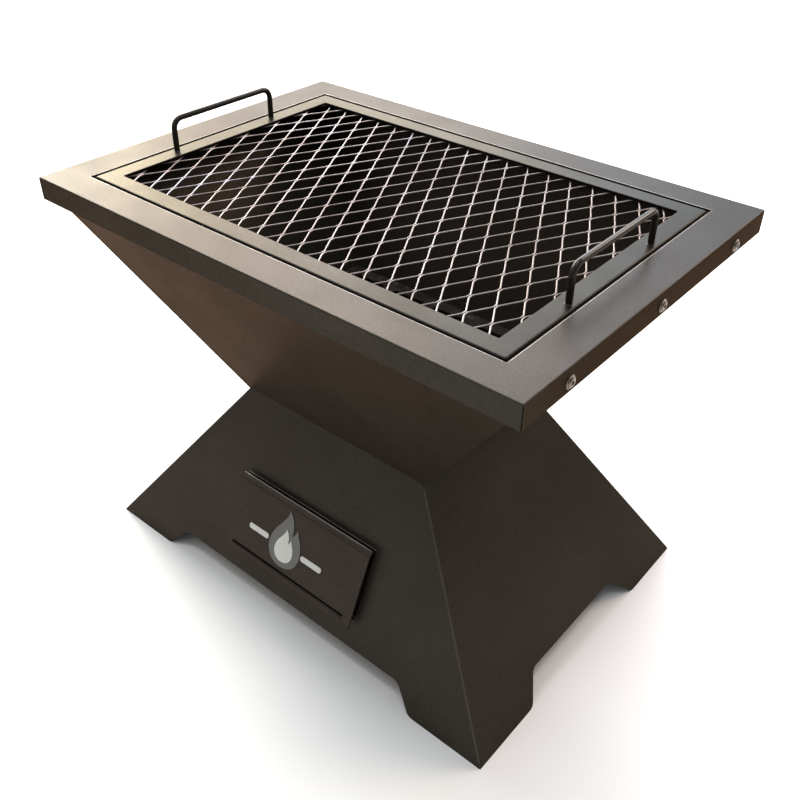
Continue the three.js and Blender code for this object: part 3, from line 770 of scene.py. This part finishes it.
def build_inner_pieces():
    for node in ("waist_ring", "drawer_runner_right", "drawer_runner_left"):
        keep(node, "inner_steel")
    for side in ("right", "left", "front", "back"):
        keep(f"rim_bracket_{side}", "inner_steel")
        keep(f"grate_ledge_{side}", "inner_steel")
    for side in ("right", "left"):
        for i in (1, 2, 3):
            keep(f"rim_nut_{side}_{i}", "fastener_steel", radius=0.35 * MM)
    keep("charcoal_grate_plate", "charcoal_grate_steel", radius=0.5 * MM)
    keep("ash_tray", "tray_steel")


# ---- ash drawer front and doorway ------------------------------------------------------------
FRONT_LOW, FRONT_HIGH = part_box("drawer_front")
LIP_HEM = 1.2 * MM  # radius of the drawer lip's rolled edge
HEM_HALF = FRONT_HIGH.x - LIP_HEM


def level_bead(name, middle, half, radius, body, coat):
    """A bead that runs left to right through a point, as far on each side."""
    ends = [Vector((x, middle.y, middle.z)) for x in (-half, half)]
    obj = new_object(name, bead_between(name, *ends, radius), body)
    paint(obj, coat)


def wall_slope():
    """Unit vectors down the front wall and out of it."""
    top_y, top_z = half_at("base_front_plate", 1, 1)
    foot_y, foot_z = half_at("base_front_plate", 1, 0)
    down = Vector((0, top_y - foot_y, foot_z - top_z)).normalized()
    return down, Vector((0, down.z, -down.y))


def build_drawer_front():
    """The drawer's face with its emblem, and a pale hem on the lip folded back over it, a painted
    highlight.
    """
    keep("drawer_front", "body_steel", segments=4, coat="drawer_steel")
    keep("emblem_flame_outer", "emblem_grey", radius=0.1 * MM, segments=2)
    for node in ("emblem_flame_inner", "emblem_bar_right", "emblem_bar_left"):
        keep(node, "emblem_light", radius=0.1 * MM, segments=2)
    down, out = wall_slope()
    lip = furthest(cad_points("drawer_front"), -down)[0]
    sunk = down * 0.4 + out * 0.3
    level_bead("lip_hem", lip + sunk * LIP_HEM, HEM_HALF, LIP_HEM, DRAWER, "hem_highlight")


def doorway_points():
    """The front wall's corner points round the drawer's doorway."""
    return [p for p in cad_points("base_front_plate") if FRONT_LOW.z < p.z < FRONT_HIGH.z]


def build_doorway_hem():
    """A pale hem on the outside of the doorway's upper edge: a painted highlight."""
    radius = 0.9 * MM
    down, out = wall_slope()
    lintel = min(furthest(doorway_points(), UP), key=lambda p: p.y)
    sunk = down * 0.3 - out * 0.6
    level_bead("doorway_hem", lintel + sunk * radius, HEM_HALF, radius,
               STAND, "hem_highlight")


def build_air_slot():
    """A near-black strip closes the drawer's air slot from behind, painted shade in the slot; a bead
    stiffens its lip.
    """
    bead, proud, behind, side_margin = 2.6 * MM, 0.8 * MM, 0.6 * MM, 5 * MM
    down, out = wall_slope()
    slot = [p for p in cad_points("drawer_front") if abs(p.x) < FRONT_HIGH.x - side_margin]
    rim = furthest(slot, out)
    middle = sum(rim, Vector()) / len(rim)
    slot_half = (max(p.dot(down) for p in rim) - min(p.dot(down) for p in rim)) / 2
    half = max(p.x for p in rim) - 0.5 * slot_half
    level_bead("vent_shade_strip", middle - out * (slot_half + behind), half, slot_half,
               DRAWER, "joint_and_shade_black")
    level_bead("vent_lip", middle + down * (slot_half + bead) - out * (bead - proud), half, bead,
               DRAWER, "drawer_steel")


def build_sill_rod():
    """A black rod along the doorway's sill, which closes the gap under the tray: painted shade there.
    """
    radius, short_of_side = 3.4 * MM, 0.5 * MM
    doorway = doorway_points()
    sill = min(p.z for p in doorway)
    inner = max(p.y for p in furthest(doorway, -UP))
    half = max(p.x for p in doorway) - short_of_side
    level_bead("sill_shade_rod", Vector((0, inner + radius, sill + radius)), half, radius,
               STAND, "joint_and_shade_black")


# ---- stage, lights and camera ----------------------------------------------------------------
def even_world(colour, strength):
    """The same soft light from every side."""
    world = bpy.data.worlds.new("studio")
    world.use_nodes = True
    background = world.node_tree.nodes["Background"]
    background.inputs["Color"].default_value = colour
    background.inputs["Strength"].default_value = strength
    bpy.context.scene.world = world


def floor():
    half = 14
    mesh = mesh_from("floor", [(sx * half, sy * half, 0) for sx, sy in QUADRANTS], [(0, 1, 2, 3)])
    n = Nodes("floor_paper")
    tone = n.mix(n.spread(n.noise(1.2, 2, 0.5), 0, 1), grey(0.86), grey(0.88))
    mesh.materials.append(n.finish(Base_Color=tone, Roughness=0.9, Specular_IOR_Level=0.1))
    obj = bpy.data.objects.new("floor", mesh)
    bpy.context.scene.collection.objects.link(obj)


# Softboxes round the grill: name, azimuth from +X and elevation in degrees, width, watts of RGB.
SOFTBOXES = (
    ("warm_window", 160, 18, 2.6, (275, 238, 178)),
    ("cool_window", 168, 20, 2.6, (100, 137, 155)),
    ("high_window", 145, 34, 2.6, (205, 185, 175)),
    ("low_window", 132, 18, 2.6, (79, 74, 67)),
    ("back_softbox", 120, 36, 2.8, (154, 157, 171)),
    ("low_back_softbox", 107, 23, 2.6, (15, 24, 35)),
    ("overhead_softbox", 0, 90, 3.6, (150, 155, 165)),
    ("back_right_softbox", 75, 30, 3.0, (210, 168, 135)),
    ("front_fill", -105, 35, 4.0, (28, 27, 26)),
    ("left_front_softbox", 208, 52, 2.0, (44, 43, 40)),
)
LIGHT_DISTANCE = 6.0
LIGHT_TARGET = Vector((0, 0, 0.5))


def softbox(name, azimuth, elevation, width, watts):
    light = bpy.data.lights.new(name, "AREA")
    light.shape = "RECTANGLE"
    light.size, light.size_y = width, 0.8 * width
    light.energy = max(watts)
    light.color = [share / max(watts) for share in watts]
    obj = bpy.data.objects.new(name, light)
    a, e = math.radians(azimuth), math.radians(elevation)
    away = Vector((math.cos(e) * math.cos(a), math.cos(e) * math.sin(a), math.sin(e)))
    obj.location = LIGHT_TARGET + away * LIGHT_DISTANCE
    obj.rotation_euler = (-away).to_track_quat("-Z", "Y").to_euler()
    bpy.context.scene.collection.objects.link(obj)


def camera():
    """The photograph's viewpoint: right of the front, looking down onto the grate."""
    yaw, pitch, roll = -0.695, 0.6382, 0.0099
    eye = Vector((672.6, -788.0, 458.2)) * MM + Vector((0, 0, RIM_TOP))
    forward = Vector((math.sin(yaw) * math.cos(pitch), math.cos(yaw) * math.cos(pitch),
                      -math.sin(pitch)))
    level_right = Vector((math.cos(yaw), -math.sin(yaw), 0))
    level_up = level_right.cross(forward)
    right = math.cos(roll) * level_right + math.sin(roll) * level_up
    up = math.cos(roll) * level_up - math.sin(roll) * level_right
    data = bpy.data.cameras.new("camera")
    data.sensor_width, data.lens = 36, 41.33
    obj = bpy.data.objects.new("camera", data)
    turn = Matrix((right, up, -forward)).transposed().to_4x4()
    obj.matrix_world = Matrix.Translation(eye) @ turn
    bpy.context.scene.collection.objects.link(obj)
    bpy.context.scene.camera = obj


def build_studio():
    bpy.context.scene.view_settings.view_transform = "Standard"
    even_world(grey(1.0), 0.3)
    floor()
    for box in SOFTBOXES:
        softbox(*box)


build_rim_and_frame()
build_rim_corner_joints()
build_opening_edge()
build_expanded_mesh()
build_handles()
build_screws()
build_plates()
build_wall_seams()
build_inner_pieces()
build_drawer_front()
build_doorway_hem()
build_air_slot()
build_sill_rod()
build_studio()
camera()
